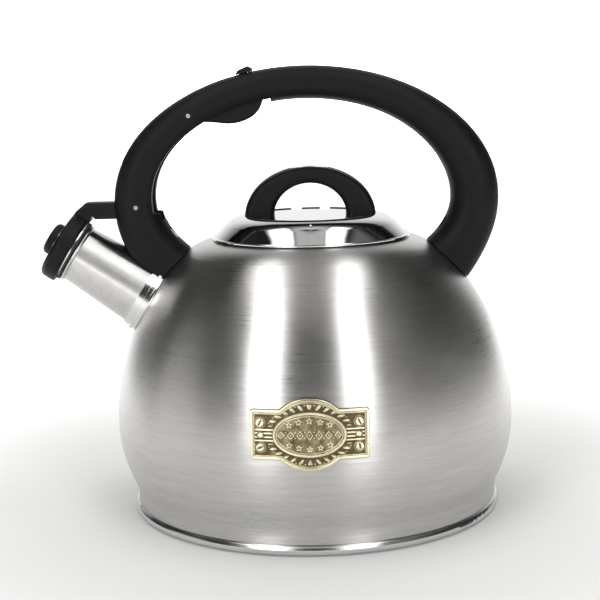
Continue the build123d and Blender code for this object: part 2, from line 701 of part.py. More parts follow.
def trigger():
    """Finger trigger: paddle, neck, stop hook, pivot hub and bowed tail with a forked end."""
    tail = side_view(trace(tail_path(), TRIGGER_TAIL_THICKNESS), TRIGGER_TAIL_WIDTH)
    hub = cross_pin(TRIGGER_PIN.X, TRIGGER_PIN.Z, TRIGGER_HUB_RADIUS, TRIGGER_TAIL_WIDTH)
    end = cross_pin(LINK_PIN.X, LINK_PIN.Z, LINK_CHEEK_RADIUS, TRIGGER_TAIL_WIDTH)
    neck_end = TRIGGER_PIN.X + paddle_point(PADDLE_HEEL)[0] + PADDLE_ROUNDING
    neck_low = TRIGGER_PIN.Z + PADDLE_HEEL[1]
    neck_high = TRIGGER_PIN.Z + PADDLE_OVER[-1][1]
    neck = side_view(zone(TRIGGER_PIN.X, neck_end, neck_low, neck_high), TRIGGER_TAIL_WIDTH)
    body = tail + hub + end + neck + paddle() + hook()
    body -= cross_pin(LINK_PIN.X, LINK_PIN.Z, LINK_GAP_RADIUS, LINK_GAP_WIDTH)
    body -= cross_pin(LINK_PIN.X, LINK_PIN.Z, LINK_PIN_RADIUS, TRIGGER_TAIL_WIDTH + 2 * CUT_PAST)
    return body - cross_pin(TRIGGER_PIN.X, TRIGGER_PIN.Z, PIVOT_BORE_RADIUS, PADDLE_WIDTH + 2 * CUT_PAST)


def link_pin():
    """Pin across the trigger's forked tail that drives the spout lever."""
    return cross_pin(LINK_PIN.X, LINK_PIN.Z, LINK_PIN_RADIUS - JOINT_GAP, TRIGGER_TAIL_WIDTH)


def trigger_spring():
    """Compression spring between the trigger and the roof of the finger pocket."""
    seat = TRIGGER_PIN.Z + SPRING_SEAT
    spring_x = TRIGGER_PIN.X + SPRING_REACH
    roof = grip_top_z(spring_x - SPRING_RADIUS, CHANNEL_WALL)
    low = seat + SPRING_WIRE
    height = roof - low - SPRING_WIRE - SPRING_GAP
    coil = Helix(pitch=height / SPRING_TURNS, height=height, radius=SPRING_RADIUS)
    start = Plane(origin=coil.position_at(0), z_dir=coil.tangent_at(0))
    wire = sweep(start * Circle(SPRING_WIRE / 2), coil)
    return Pos(spring_x, 0, low) * wire


# ---- spout lever ----
def lever_fork():
    """Forked ear on the lever's hub that the link pin slides in."""
    toward = (LINK_PIN - LEVER_PIN).normalized()
    angle = math.degrees(math.atan2(toward.Z, toward.X))
    slot_half = LINK_PIN_RADIUS + LINK_SLOT_CLEARANCE
    ear = Pos(FORK_REACH / 2, 0) * Rectangle(FORK_REACH, 2 * (slot_half + FORK_PRONG))
    reach = (LINK_PIN - LEVER_PIN).length
    nearest = (LEVER_PIN - TRIGGER_PIN).length - LINK_ARM
    slot_start = nearest - slot_half
    slot_end = max(reach, FORK_REACH) + slot_half
    gap = Pos((slot_start + slot_end) / 2, 0) * SlotOverall(slot_end - slot_start, 2 * slot_half)
    return side_view(Pos(LEVER_PIN.X, LEVER_PIN.Z) * Rot(0, 0, angle) * (ear - gap), FORK_WIDTH)


def cap_place(down, out):
    """XZ point given by its distance down the spout's mouth plane and out from it."""
    place = SPOUT_MOUTH + SPOUT_DOWN * down + SPOUT_OUT * out
    return (place.X, place.Z)


def lever_arm():
    """Bent arm of the lever, from its hub down to the cap, with rounded upper edges."""
    arm_top = LEVER_ARM_LOW_Z + LEVER_ARM_THICKNESS
    cap_top = CAP_START + CAP_THICKNESS
    bend = cap_place(-CAP_RADIUS - LEVER_BEND_ABOVE, cap_top - LEVER_BEND_BACK)
    corners = [
        (LEVER_PIN.X, LEVER_ARM_LOW_Z),
        (LEVER_PIN.X, arm_top),
        (bend[0], arm_top),
        cap_place(-CAP_RADIUS, cap_top - LEVER_STEP),
        cap_place(-CAP_RADIUS / 2, cap_top),
        cap_place(-CAP_RADIUS / 2, CAP_START),
        cap_place(-CAP_RADIUS - LEVER_NECK, CAP_START),
        (bend[0] + LEVER_ELBOW, LEVER_ARM_LOW_Z),
    ]
    arm = side_view(make_face(Polyline(*corners, close=True)), LEVER_ARM_WIDTH)
    rounded = []
    for edge in arm.edges():
        middle = edge.center()
        along_side = abs(abs(middle.Y) - LEVER_ARM_WIDTH / 2) < JOINT_GAP
        past_hub = middle.X < LEVER_PIN.X - LEVER_ARM_THICKNESS
        if along_side and past_hub and middle.Z > LEVER_ARM_LOW_Z + CAP_ARM_ROUNDING:
            rounded.append(edge)
    return fillet(rounded, CAP_ARM_ROUNDING)


def steam_channel():
    """Annular groove behind the steam holes, its way out at the bottom, and the screw's hole."""
    inner = STEAM_HOLE_CIRCLE - STEAM_GROOVE_WIDTH / 2
    floor = CAP_START + STEAM_GROOVE_DEPTH
    low = CAP_START - CUT_PAST
    groove = ring(inner, inner + STEAM_GROOVE_WIDTH, low, floor)
    vent_length = CAP_RADIUS + CUT_PAST - STEAM_HOLE_CIRCLE
    vent = Box(vent_length, STEAM_GROOVE_WIDTH, floor - low)
    vent = Pos(STEAM_HOLE_CIRCLE + vent_length / 2, 0, (low + floor) / 2) * vent
    screw_hole = Pos(0, 0, CAP_START) * Cylinder(CAP_SCREW_RADIUS, CUTTER)
    return SPOUT_FRAME * (groove + vent + screw_hole)


def spout_lever():
    """Lever: cap disc over the spout's mouth, bent arm, hub and fork, in one moulding."""
    disc = Pos(0, 0, CAP_START) * extrude(Circle(CAP_RADIUS), CAP_THICKNESS)
    disc = fillet(disc.edges().group_by(Axis.Z)[-1], CAP_OUTER_ROUNDING)
    disc = fillet(disc.edges().group_by(Axis.Z)[0], CAP_INNER_ROUNDING)
    hub = cross_pin(LEVER_PIN.X, LEVER_PIN.Z, LEVER_HUB_RADIUS, LEVER_HUB_WIDTH)
    lever = SPOUT_FRAME * disc + lever_arm() + hub + lever_fork()
    bore = cross_pin(LEVER_PIN.X, LEVER_PIN.Z, PIVOT_BORE_RADIUS, LEVER_HUB_WIDTH + 2 * CUT_PAST)
    return lever - bore - steam_channel()


def steam_holes(height):
    """The cutters for the steam holes of the whistle, centred on one height."""
    holes = []
    for hole in range(STEAM_HOLE_COUNT):
        spot = Rot(0, 0, 360 * hole / STEAM_HOLE_COUNT) * Pos(STEAM_HOLE_CIRCLE, 0, height)
        holes.append(spot * Cylinder(WHISTLE_HOLE_RADIUS, 2 * WHISTLE_DRUM_DEPTH))
    return holes


def plate_low():
    """Height of the whistle plate's inner face above the spout's mouth."""
    return CAP_START - JOINT_GAP - WHISTLE_PLATE_THICKNESS


def whistle_plate():
    """Steel plate under the cap with its steam holes."""
    low = plate_low()
    disc = extrude(Circle(WHISTLE_PLATE_RADIUS), WHISTLE_PLATE_THICKNESS)
    disc = Pos(-WHISTLE_PLATE_SHIFT, 0, low) * disc
    for hole in steam_holes(low):
        disc -= hole
    return SPOUT_FRAME * (disc - Pos(0, 0, low) * Cylinder(CAP_SCREW_RADIUS, CUTTER))


def whistle_drum():
    """Small pressed cup inside the mouth; steam sounds across its hole and the plate's."""
    top = plate_low() - JOINT_GAP
    cup = ring(0, WHISTLE_DRUM_RADIUS, -WHISTLE_DRUM_DEPTH, top)
    inner = WHISTLE_DRUM_RADIUS - WHISTLE_WALL
    cup -= ring(0, inner, WHISTLE_WALL - WHISTLE_DRUM_DEPTH, top + CUT_PAST)
    for hole in steam_holes(-WHISTLE_DRUM_DEPTH):
        cup -= hole
    return SPOUT_FRAME * cup


def whistle_seal():
    """Silicone ring on the plate that closes on the spout's lip."""
    top = plate_low() - JOINT_GAP
    return SPOUT_FRAME * ring(SEAL_INNER_RADIUS, SEAL_OUTER_RADIUS, SEAL_GAP, top)


def whistle_trim():
    """Bright disc on the outside of the cap."""
    low = CAP_START + CAP_THICKNESS + JOINT_GAP
    return SPOUT_FRAME * ring(CAP_SCREW_RADIUS, TRIM_RADIUS, low, low + TRIM_THICKNESS)


def whistle_dome():
    """Black button over the cap's screw."""
    low = CAP_START + CAP_THICKNESS + TRIM_THICKNESS + 2 * JOINT_GAP
    dome = Pos(0, 0, low) * extrude(Circle(DOME_RADIUS), DOME_HEIGHT)
    dome = fillet(dome.edges().group_by(Axis.Z)[-1], DOME_ROUNDING)
    socket = ring(0, DOME_SOCKET_RADIUS, low - CUT_PAST, low + DOME_SOCKET_DEPTH)
    return SPOUT_FRAME * (dome - socket)


def cap_screw():
    """Screw that clamps the trim, the cap and the whistle plate together."""
    head_low = CAP_START + CAP_THICKNESS + TRIM_THICKNESS + 2 * JOINT_GAP
    head = ring(0, CAP_SCREW_HEAD_RADIUS, head_low, head_low + CAP_SCREW_HEAD)
    shank = ring(0, CAP_SCREW_RADIUS - JOINT_GAP, plate_low() - CUT_PAST, head_low)
    slot = Box(2 * CAP_SCREW_HEAD_RADIUS, SCREW_SLOT_WIDTH, 2 * SCREW_SLOT_DEPTH)
    return SPOUT_FRAME * (head + shank - Pos(0, 0, head_low + CAP_SCREW_HEAD) * slot)


# ---- lid ----
def lid_cover():
    """Polished lid: flat flange, sloping side and a shallow dished top."""
    slope = layer(LID_SIDE, -LID_WALL, 0)
    flange_inner = LID_FLANGE_INNER - LID_FLANGE_WIDTH + LID_SEAM_LAP
    flange = ring(flange_inner, LID_RADIUS, LID_FLANGE_LOW, LID_FLANGE_TOP)
    flange = fillet(flange.edges().group_by(SortBy.LENGTH)[-1], LID_FLANGE_THICKNESS * 0.4)
    plate_low_side = LID_DISH_Z - LID_WALL
    rim_inner = LID_TOP_RADIUS - LID_DISH_RIM
    rim = ring(rim_inner, LID_TOP_RADIUS + LID_SEAM_LAP, plate_low_side, LID_TOP_HEIGHT - JOINT_GAP)
    cover = slope + flange + rim + ring(0, LID_TOP_RADIUS, plate_low_side, LID_DISH_Z)
    for side in (-1, 1):
        screw_hole = Cylinder(LID_SCREW_RADIUS + JOINT_GAP, SKIRT_DEPTH)
        cover -= Pos(side * LID_SCREW_PLACE, 0, LID_DISH_Z) * screw_hole
    vent = Cylinder(VENT_RADIUS, 2 * SKIRT_DEPTH)
    return cover - Pos(0, -LID_TOP_RADIUS - VENT_INSET, LID_TOP_HEIGHT) * vent


def lid_skirt():
    """Locating ring under the lid that drops into the pot's neck."""
    outer = MOUTH_RADIUS - SKIRT_CLEARANCE
    hoop = ring(outer - SKIRT_WALL, outer, LID_FLANGE_LOW - SKIRT_DEPTH, LID_TOP_HEIGHT)
    return hoop - layer(LID_SIDE, -LID_WALL - JOINT_GAP, CUTTER / 4)


def loop_outline(grow):
    """Outline of the lid's loop handle, its outer line grown by grow."""
    base = LID_DISH_Z
    outer = Ellipse(LOOP_OUTER_HALF + grow, LOOP_OUTER_RISE + grow)
    loop = Pos(0, base) * (outer - Ellipse(LOOP_INNER_HALF, LOOP_INNER_RISE))
    return loop & zone(-CUTTER, CUTTER, base + JOINT_GAP, base + CUTTER)


def inlay_block(grow):
    """Upright oval column through the top of the loop, grown by a clearance."""
    column = Ellipse(INLAY_LENGTH / 2 + grow, INLAY_WIDTH / 2 + grow)
    return Pos(0, 0, LID_DISH_Z + LOOP_INNER_RISE) * extrude(column, LOOP_OUTER_RISE)


def lid_loop():
    """Lid handle: a moulded loop with a pocket for its inlay and holes for its screws."""
    loop = side_view(loop_outline(0), LOOP_WIDTH)
    rounded = []
    for edge in loop.edges():
        along_side = abs(abs(edge.center().Y) - LOOP_WIDTH / 2) < JOINT_GAP
        if along_side and edge.center().Z > LID_DISH_Z + LOOP_ROUNDING / 2:
            rounded.append(edge)
    loop = fillet(rounded, LOOP_ROUNDING)
    skin = side_view(loop_outline(CUT_PAST) - loop_outline(-INLAY_DEPTH - JOINT_GAP), LOOP_WIDTH)
    loop -= skin & inlay_block(JOINT_GAP)
    rim_inner = LID_TOP_RADIUS - LID_DISH_RIM - JOINT_GAP
    rim_outer = LID_TOP_RADIUS + CUT_PAST
    loop -= ring(rim_inner, rim_outer, LID_DISH_Z - CUT_PAST, LID_TOP_HEIGHT + JOINT_GAP)
    for side in (-1, 1):
        hole = Cylinder(LID_SCREW_RADIUS, 2 * (LID_SCREW_DEPTH + CUT_PAST))
        loop -= Pos(side * LID_SCREW_PLACE, 0, LID_DISH_Z) * hole
    return loop


def lid_inlay():
    """Polished oval set into the top of the loop."""
    skin = side_view(loop_outline(INLAY_PROUD) - loop_outline(-INLAY_DEPTH), LOOP_WIDTH)
    return skin & inlay_block(0)


def lid_screws():
    """The two screws up through the lid into the feet of its loop."""
    head_top = LID_DISH_Z - LID_WALL - WASHER_THICKNESS - 2 * JOINT_GAP
    head_low = head_top - LID_SCREW_HEAD
    head = ring(0, LID_SCREW_HEAD_RADIUS, head_low, head_top)
    shank = ring(0, LID_SCREW_RADIUS - JOINT_GAP, head_low, LID_DISH_Z + LID_SCREW_DEPTH)
    slot = Box(2 * LID_SCREW_HEAD_RADIUS, SCREW_SLOT_WIDTH, 2 * SCREW_SLOT_DEPTH)
    screw = head + shank - Pos(0, 0, head_low) * slot
    solids = []
    for side in (-1, 1):
        solids.extend((Pos(side * LID_SCREW_PLACE, 0, 0) * screw).solids())
    return Compound(children=solids)


def lid_washers():
    """Washers between the lid and its screw heads."""
    high = LID_DISH_Z - LID_WALL - JOINT_GAP
    washer = ring(LID_SCREW_RADIUS + WASHER_CLEARANCE, WASHER_RADIUS, high - WASHER_THICKNESS, high)
    solids = []
    for side in (-1, 1):
        solids.extend((Pos(side * LID_SCREW_PLACE, 0, 0) * washer).solids())
    return Compound(children=solids)


# ---- badge ----
def badge_outline(margin):
    """Outline of the badge: a plate with a rounded lobe above and below, shrunk by margin."""
    length = BADGE_LENGTH - 2 * margin
    height = BADGE_HEIGHT - 2 * margin
    plate = RectangleRounded(length, height, BADGE_CORNER)
    lobe = Ellipse(BADGE_LOBE_LENGTH / 2 - margin, BADGE_LOBE_HEIGHT / 2 - margin)
    return Pos(0, BADGE_CENTRE_Z) * (plate + lobe)


def badge_layer(margin, inner, outer):
    """Part of a layer over the pot's surface that lies behind the badge's outline."""
    block = extrude(Plane.XZ * badge_outline(margin), 2 * BODY_RADIUS)
    return Rot(0, 0, BADGE_TURN) * (block & layer(POT_SIDE, inner, outer))


def badge_pad():
    """Adhesive pad that holds the badge."""
    return badge_layer(BADGE_PAD_MARGIN, JOINT_GAP, BADGE_PAD)


def badge_plate():
    """Cast badge that follows the curve of the pot."""
    return badge_layer(0, BADGE_PAD + JOINT_GAP, BADGE_PAD + BADGE_THICKNESS)


# ---- what the kettle is made of ----
PARTS = {
    "body_shell": body_shell,
    "base_pan": base_pan,
    "heat_disc": heat_disc,
    "base_cap": base_cap,
    "spout_tube": spout_tube,
    "spout_collar": spout_collar,
    "front_bracket": lambda: weld_bracket(-1),
    "rear_bracket": lambda: weld_bracket(1),
    "handle_shell": handle_shell,
    "handle_screws": grip_screws,
    "trigger_pin": lambda: pivot_pin(TRIGGER_PIN),
    "lever_pin": lambda: pivot_pin(LEVER_PIN),
    "badge_pad": badge_pad,
    "badge_plate": badge_plate,
    "trigger": trigger,
    "link_pin": link_pin,
    "trigger_spring": trigger_spring,
    "spout_lever": spout_lever,
    "whistle_plate": whistle_plate,
    "whistle_drum": whistle_drum,
    "whistle_seal": whistle_seal,
    "whistle_trim": whistle_trim,
    "whistle_dome": whistle_dome,
    "cap_screw": cap_screw,
    "lid_cover": lid_cover,
    "lid_skirt": lid_skirt,
    "lid_loop": lid_loop,
    "lid_inlay": lid_inlay,
    "lid_screws": lid_screws,
    "lid_washers": lid_washers,
}


def main():
    os.makedirs("parts", exist_ok=True)
    for name, make in PARTS.items():
        export_step(make(), os.path.join("parts", name + ".step"))


main()
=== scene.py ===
import json
import math

import bmesh
import bpy
from mathutils import Matrix, Vector, geometry, kdtree


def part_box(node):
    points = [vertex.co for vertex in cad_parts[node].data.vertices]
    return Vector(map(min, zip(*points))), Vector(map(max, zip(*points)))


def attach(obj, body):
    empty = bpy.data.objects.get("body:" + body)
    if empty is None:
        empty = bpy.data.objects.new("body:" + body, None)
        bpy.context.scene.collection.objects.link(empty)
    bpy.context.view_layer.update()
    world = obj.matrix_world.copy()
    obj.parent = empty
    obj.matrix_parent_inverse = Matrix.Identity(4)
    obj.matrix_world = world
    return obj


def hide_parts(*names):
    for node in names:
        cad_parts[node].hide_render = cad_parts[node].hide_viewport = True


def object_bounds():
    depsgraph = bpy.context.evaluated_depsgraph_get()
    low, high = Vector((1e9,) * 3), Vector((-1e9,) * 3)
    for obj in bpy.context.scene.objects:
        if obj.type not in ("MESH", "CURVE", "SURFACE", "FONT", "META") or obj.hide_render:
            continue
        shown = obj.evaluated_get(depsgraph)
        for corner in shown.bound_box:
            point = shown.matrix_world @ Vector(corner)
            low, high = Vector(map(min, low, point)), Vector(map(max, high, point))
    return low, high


MM = 0.001

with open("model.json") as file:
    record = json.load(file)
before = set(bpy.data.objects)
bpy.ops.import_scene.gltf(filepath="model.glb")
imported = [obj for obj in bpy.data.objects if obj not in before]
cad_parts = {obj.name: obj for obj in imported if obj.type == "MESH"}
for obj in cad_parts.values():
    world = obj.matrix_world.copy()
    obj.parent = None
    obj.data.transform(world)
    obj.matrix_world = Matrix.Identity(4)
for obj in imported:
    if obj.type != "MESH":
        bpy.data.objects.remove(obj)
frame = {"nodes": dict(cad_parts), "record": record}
cad_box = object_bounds()
nodes = frame["nodes"]
bpy.context.scene.view_settings.view_transform = "Standard"

# ---- places and directions read from the frame ----
UP = Vector((0, 0, 1))
cap_low, cap_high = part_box("whistle_dome")
seal_low, seal_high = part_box("whistle_seal")
cap_middle = (cap_low + cap_high) / 2
seal_middle = (seal_low + seal_high) / 2
SPOUT_AXIS = (cap_middle - seal_middle).normalized()
SPOUT_POINT = seal_middle


# ---- node helpers ----
class Graph:
    """Short calls for building one material's or the world's nodes."""

    def __init__(self, tree):
        self.tree = tree

    def put(self, socket, value):
        if isinstance(value, bpy.types.NodeSocket):
            self.tree.links.new(value, socket)
        elif value is not None:
            socket.default_value = value

    def node(self, kind, **settings):
        made = self.tree.nodes.new(kind)
        for name, value in settings.items():
            setattr(made, name, value)
        return made

    def math(self, operation, a, b=0.0):
        made = self.node("ShaderNodeMath", operation=operation)
        self.put(made.inputs[0], a)
        self.put(made.inputs[1], b)
        return made.outputs[0]

    def vector(self, operation, a, b=None):
        made = self.node("ShaderNodeVectorMath", operation=operation)
        self.put(made.inputs[0], a)
        self.put(made.inputs[1], b)
        if operation in ("DOT_PRODUCT", "LENGTH"):
            return made.outputs["Value"]
        return made.outputs["Vector"]

    def scaled(self, vector, factor):
        made = self.node("ShaderNodeVectorMath", operation="SCALE")
        self.put(made.inputs[0], vector)
        self.put(made.inputs["Scale"], factor)
        return made.outputs["Vector"]

    def split(self, vector):
        made = self.node("ShaderNodeSeparateXYZ")
        self.put(made.inputs[0], vector)
        return made.outputs

    def place(self):
        return self.node("ShaderNodeTexCoord").outputs["Object"]

    def noise(self, vector, scale, detail=2.0, rough=0.5):
        made = self.node("ShaderNodeTexNoise")
        self.put(made.inputs["Vector"], vector)
        self.put(made.inputs["Scale"], scale)
        self.put(made.inputs["Detail"], detail)
        self.put(made.inputs["Roughness"], rough)
        return made.outputs["Fac"]

    def fit(self, value, low, high, to_low, to_high, smooth=False):
        made = self.node("ShaderNodeMapRange")
        made.interpolation_type = "SMOOTHSTEP" if smooth else "LINEAR"
        for socket, number in zip(made.inputs, (value, low, high, to_low, to_high)):
            self.put(socket, number)
        return made.outputs[0]

    def blend(self, share, a, b):
        made = self.node("ShaderNodeMix", data_type="RGBA")
        self.put(made.inputs["Factor"], share)
        self.put(made.inputs[6], a)
        self.put(made.inputs[7], b)
        return made.outputs[2]

    def bump(self, height, strength, distance):
        made = self.node("ShaderNodeBump")
        self.put(made.inputs["Strength"], strength)
        self.put(made.inputs["Distance"], distance)
        self.put(made.inputs["Height"], height)
        return made.outputs[0]


def shader(name):
    """A new material with its graph and its Principled shader."""
    material = bpy.data.materials.new(name)
    material.use_nodes = True
    graph = Graph(material.node_tree)
    return material, graph, material.node_tree.nodes["Principled BSDF"].inputs


def grey(value, warmth=0.0):
    return (value * (1 + warmth), value, value * (1 - 1.6 * warmth), 1)


def round_axis(graph, point, axis):
    """Unit direction out from an axis, the distance out and the distance along it."""
    away = graph.vector("SUBTRACT", graph.place(), point)
    along = graph.vector("DOT_PRODUCT", away, axis)
    radial = graph.vector("SUBTRACT", away, graph.scaled(tuple(axis), along))
    distance = graph.vector("LENGTH", radial)
    return graph.vector("NORMALIZE", radial), distance, along


def brushed_steel(name, colour, point, axis, rough, anisotropy, line=0.25):
    """Steel brushed in rings round an axis; line is the spacing of the grain in millimetres."""
    material, graph, sockets = shader(name)
    outward, distance, along = round_axis(graph, point, axis)
    across = graph.math("SUBTRACT", along, distance)

    def grain(length, spacing, detail):
        turn = graph.scaled(outward, 1 / length)
        shift = graph.scaled(tuple(axis), graph.math("MULTIPLY", across, 1 / (spacing * MM)))
        return graph.noise(graph.vector("ADD", turn, shift), 1.0, detail)

    fine = grain(0.10, line, 3.0)
    broad = grain(0.45, line * 7, 2.0)
    smudge = graph.noise(graph.place(), 26.0, 3.0)
    lines = graph.math("ADD", graph.math("MULTIPLY", fine, 0.65), graph.math("MULTIPLY", broad, 0.35))
    dark = tuple(c * 0.87 for c in colour[:3]) + (1,)
    light = tuple(min(1.0, c * 1.09) for c in colour[:3]) + (1,)
    sockets["Metallic"].default_value = 1.0
    sockets["Anisotropic"].default_value = anisotropy
    graph.put(sockets["Base Color"], graph.blend(graph.fit(lines, 0.35, 0.65, 0, 1), dark, light))
    varied = graph.fit(lines, 0.3, 0.7, rough - 0.025, rough + 0.03)
    graph.put(sockets["Roughness"], graph.math("ADD", varied, graph.fit(smudge, 0.35, 0.7, -0.02, 0.03)))
    graph.put(sockets["Normal"], graph.bump(lines, 0.05, 0.00004))
    normal = graph.node("ShaderNodeNewGeometry").outputs["Normal"]
    lean = graph.vector("DOT_PRODUCT", normal, axis)
    meridian = graph.vector("SUBTRACT", tuple(axis), graph.scaled(normal, lean))
    graph.put(sockets["Tangent"], graph.vector("NORMALIZE", meridian))
    return material


def polished_steel(name, colour, rough, waviness):
    """Steel polished to a shine, with faint wheel marks and smears."""
    material, graph, sockets = shader(name)
    outward, distance, along = round_axis(graph, (0, 0, 0), UP)
    turn = graph.scaled(outward, 2.0)
    across = graph.math("MULTIPLY", graph.math("SUBTRACT", along, distance), 3200.0)
    marks = graph.noise(graph.vector("ADD", turn, graph.scaled(tuple(UP), across)), 1.0, 3.0)
    smear = graph.noise(graph.place(), 45.0, 3.0)
    wave = graph.noise(graph.place(), 28.0, 1.0)
    darker = tuple(c * 0.93 for c in colour[:3]) + (1,)
    sockets["Metallic"].default_value = 1.0
    graph.put(sockets["Base Color"], graph.blend(graph.fit(marks, 0.35, 0.65, 0, 1), darker, colour))
    varied = graph.fit(smear, 0.35, 0.7, rough * 0.75, rough * 1.5)
    graph.put(sockets["Roughness"], graph.math("ADD", varied, graph.fit(marks, 0.4, 0.7, 0, rough * 0.3)))
    height = graph.math("ADD", graph.math("MULTIPLY", wave, waviness), graph.math("MULTIPLY", marks, 0.01))
    graph.put(sockets["Normal"], graph.bump(height, 0.25, 0.0002))
    return material


def black_plastic(name, shade, rough, grain_size, wear):
    """Satin moulded plastic: fine grain, uneven sheen and lighter rubbed edges."""
    material, graph, sockets = shader(name)
    place = graph.place()
    grain = graph.noise(place, 1 / (grain_size * MM), 2.0)
    patches = graph.noise(place, 55.0, 4.0, 0.6)
    edges = graph.node("ShaderNodeNewGeometry").outputs["Pointiness"]
    rubbed = graph.fit(edges, 0.52, 0.60, 0.0, wear)
    body = graph.blend(patches, grey(shade * 0.85, -0.02), grey(shade * 1.2, -0.02))
    graph.put(sockets["Base Color"], graph.blend(rubbed, body, grey(shade * 3.2)))
    uneven = graph.fit(patches, 0.3, 0.7, rough - 0.05, rough + 0.07)
    graph.put(sockets["Roughness"], graph.math("ADD", uneven, graph.fit(grain, 0.3, 0.7, -0.03, 0.03)))
    sockets["Specular IOR Level"].default_value = 0.16
    graph.put(sockets["Normal"], graph.bump(grain, 0.30, 0.00003))
    return material


def plain_metal(name, colour, rough):
    """Turned fastener steel or pressed aluminium with fine machining marks."""
    material, graph, sockets = shader(name)
    place = graph.place()
    marks = graph.noise(place, 1900.0, 3.0)
    tarnish = graph.noise(place, 160.0, 3.0)
    darker = tuple(c * 0.7 for c in colour[:3]) + (1,)
    sockets["Metallic"].default_value = 1.0
    graph.put(sockets["Base Color"], graph.blend(graph.fit(tarnish, 0.35, 0.65, 0, 1), darker, colour))
    graph.put(sockets["Roughness"], graph.fit(marks, 0.3, 0.7, rough - 0.07, rough + 0.09))
    graph.put(sockets["Normal"], graph.bump(marks, 0.2, 0.00004))
    return material


def soft_rubber(name, shade, rough):
    """Matt silicone or foam tape with a dusty, fine-pored surface."""
    material, graph, sockets = shader(name)
    place = graph.place()
    pores = graph.noise(place, 3800.0, 2.0)
    dust = graph.noise(place, 210.0, 4.0)
    dusty = graph.fit(dust, 0.4, 0.75, 0, 1)
    graph.put(sockets["Base Color"], graph.blend(dusty, grey(shade), grey(shade * 1.8)))
    graph.put(sockets["Roughness"], graph.fit(pores, 0.3, 0.7, rough - 0.06, rough + 0.08))
    graph.put(sockets["Normal"], graph.bump(pores, 0.35, 0.00005))
    return material


def antique_brass(name):
    """Champagne brass, bright on the raised work and dark with patina in the hollows."""
    material, graph, sockets = shader(name)
    relief = graph.node("ShaderNodeAttribute", attribute_name="relief").outputs["Fac"]
    place = graph.place()
    cast = graph.noise(place, 2600.0, 3.0)
    stain = graph.noise(place, 330.0, 4.0, 0.6)
    level = graph.math("ADD", relief, graph.fit(stain, 0.3, 0.7, -0.16, 0.16))
    hollow = graph.blend(graph.fit(level, 0.02, 0.30, 0, 1), (0.10, 0.083, 0.045, 1), (0.35, 0.30, 0.18, 1))
    metal = graph.blend(graph.fit(level, 0.35, 0.80, 0, 1), hollow, (0.72, 0.66, 0.47, 1))
    sockets["Metallic"].default_value = 1.0
    graph.put(sockets["Base Color"], metal)
    worn = graph.fit(level, 0.1, 0.9, 0.46, 0.27)
    graph.put(sockets["Roughness"], graph.math("ADD", worn, graph.fit(cast, 0.3, 0.7, -0.04, 0.05)))
    graph.put(sockets["Normal"], graph.bump(cast, 0.22, 0.00004))
    return material


# ---- materials on the CAD nodes ----
STEEL = grey(0.55, 0.012)
MATERIALS = {
    "brushed_steel": brushed_steel("brushed_pot_steel", STEEL, (0, 0, 0), UP, 0.30, 0.85),
    "spout_steel": brushed_steel("brushed_spout_steel", STEEL, SPOUT_POINT, SPOUT_AXIS, 0.30, 0.75, 0.3),
    "polished_steel": polished_steel("polished_steel", grey(0.70, 0.005), 0.16, 0.10),
    "mirror_steel": polished_steel("mirror_steel", grey(0.76, 0.004), 0.045, 0.35),
    "hardware_steel": plain_metal("fastener_steel", grey(0.55), 0.32),
    "aluminium": plain_metal("pressed_aluminium", grey(0.74), 0.42),
    "black_nylon": black_plastic("soft_black_nylon", 0.0040, 0.50, 0.16, 0.25),
    "black_nylon_trigger": black_plastic("trigger_nylon", 0.0050, 0.46, 0.14, 0.35),
    "black_nylon_lever": black_plastic("lever_nylon", 0.0045, 0.42, 0.14, 0.35),
    "silicone": soft_rubber("seal_silicone", 0.03, 0.62),
    "adhesive_pad": soft_rubber("foam_tape", 0.05, 0.8),
    "badge_brass": antique_brass("antique_brass"),
}
slot_of = {part["node"]: part["material_slot"] for part in frame["record"]["subparts"]}
for name, obj in nodes.items():
    obj.data.materials.clear()
    obj.data.materials.append(MATERIALS[slot_of[name]])


# ---- the badge's relief ----
plate_low, plate_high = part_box("badge_plate")
BADGE_CENTRE_Z = (plate_low.z + plate_high.z) / 2
BADGE_HALF_LOBE = (plate_high.z - plate_low.z) / 2
BADGE_HALF_LENGTH = 27.25 * MM
BADGE_HALF_PLATE = 11.5 * MM
BADGE_LOBE_HALF_LENGTH = 19.0 * MM
BADGE_CORNER = 1.5 * MM
BADGE_TURN = math.radians(-1.5)
BADGE_BASE = 0.55 * MM
BADGE_FIELD = 1.35 * MM
BADGE_RELIEF = 0.70 * MM
STEP = 0.24 * MM
ROW_PITCH = 0.87 * STEP
EDGE_ROUNDING = 0.35 * MM
EDGE_DRAFT = 0.994


def pot_radius(z):
    """Outer radius of the pot at one height, found on the CAD shell."""
    outside = Vector((0, cad_box[0][1] - 1, z))
    _, place, _, _ = nodes["body_shell"].ray_cast(outside, Vector((0, 1, 0)))
    return -place.y


def fitted_profile():
    """Smooth radius and slope of the pot behind the badge, as a parabola through three heights."""
    middle = BADGE_CENTRE_Z
    reach = BADGE_HALF_LOBE
    low, centre, high = (pot_radius(middle + side * reach) for side in (-1, 0, 1))
    bend = (low + high - 2 * centre) / (2 * reach**2)
    slope = (high - low) / (2 * reach)
    return lambda v: (centre + slope * v + bend * v * v, slope + 2 * bend * v)


profile = fitted_profile()


def on_pot(u, v, lift):
    """Point over the pot at u across and v up from the badge's centre, lifted off its surface."""
    radius, slope = profile(v)
    depth = math.sqrt(radius**2 - u**2)
    out = Vector((u / radius, -depth / radius, -slope)).normalized()
    place = Vector((u, -depth, BADGE_CENTRE_Z + v)) + out * lift
    return Matrix.Rotation(BADGE_TURN, 3, "Z") @ place


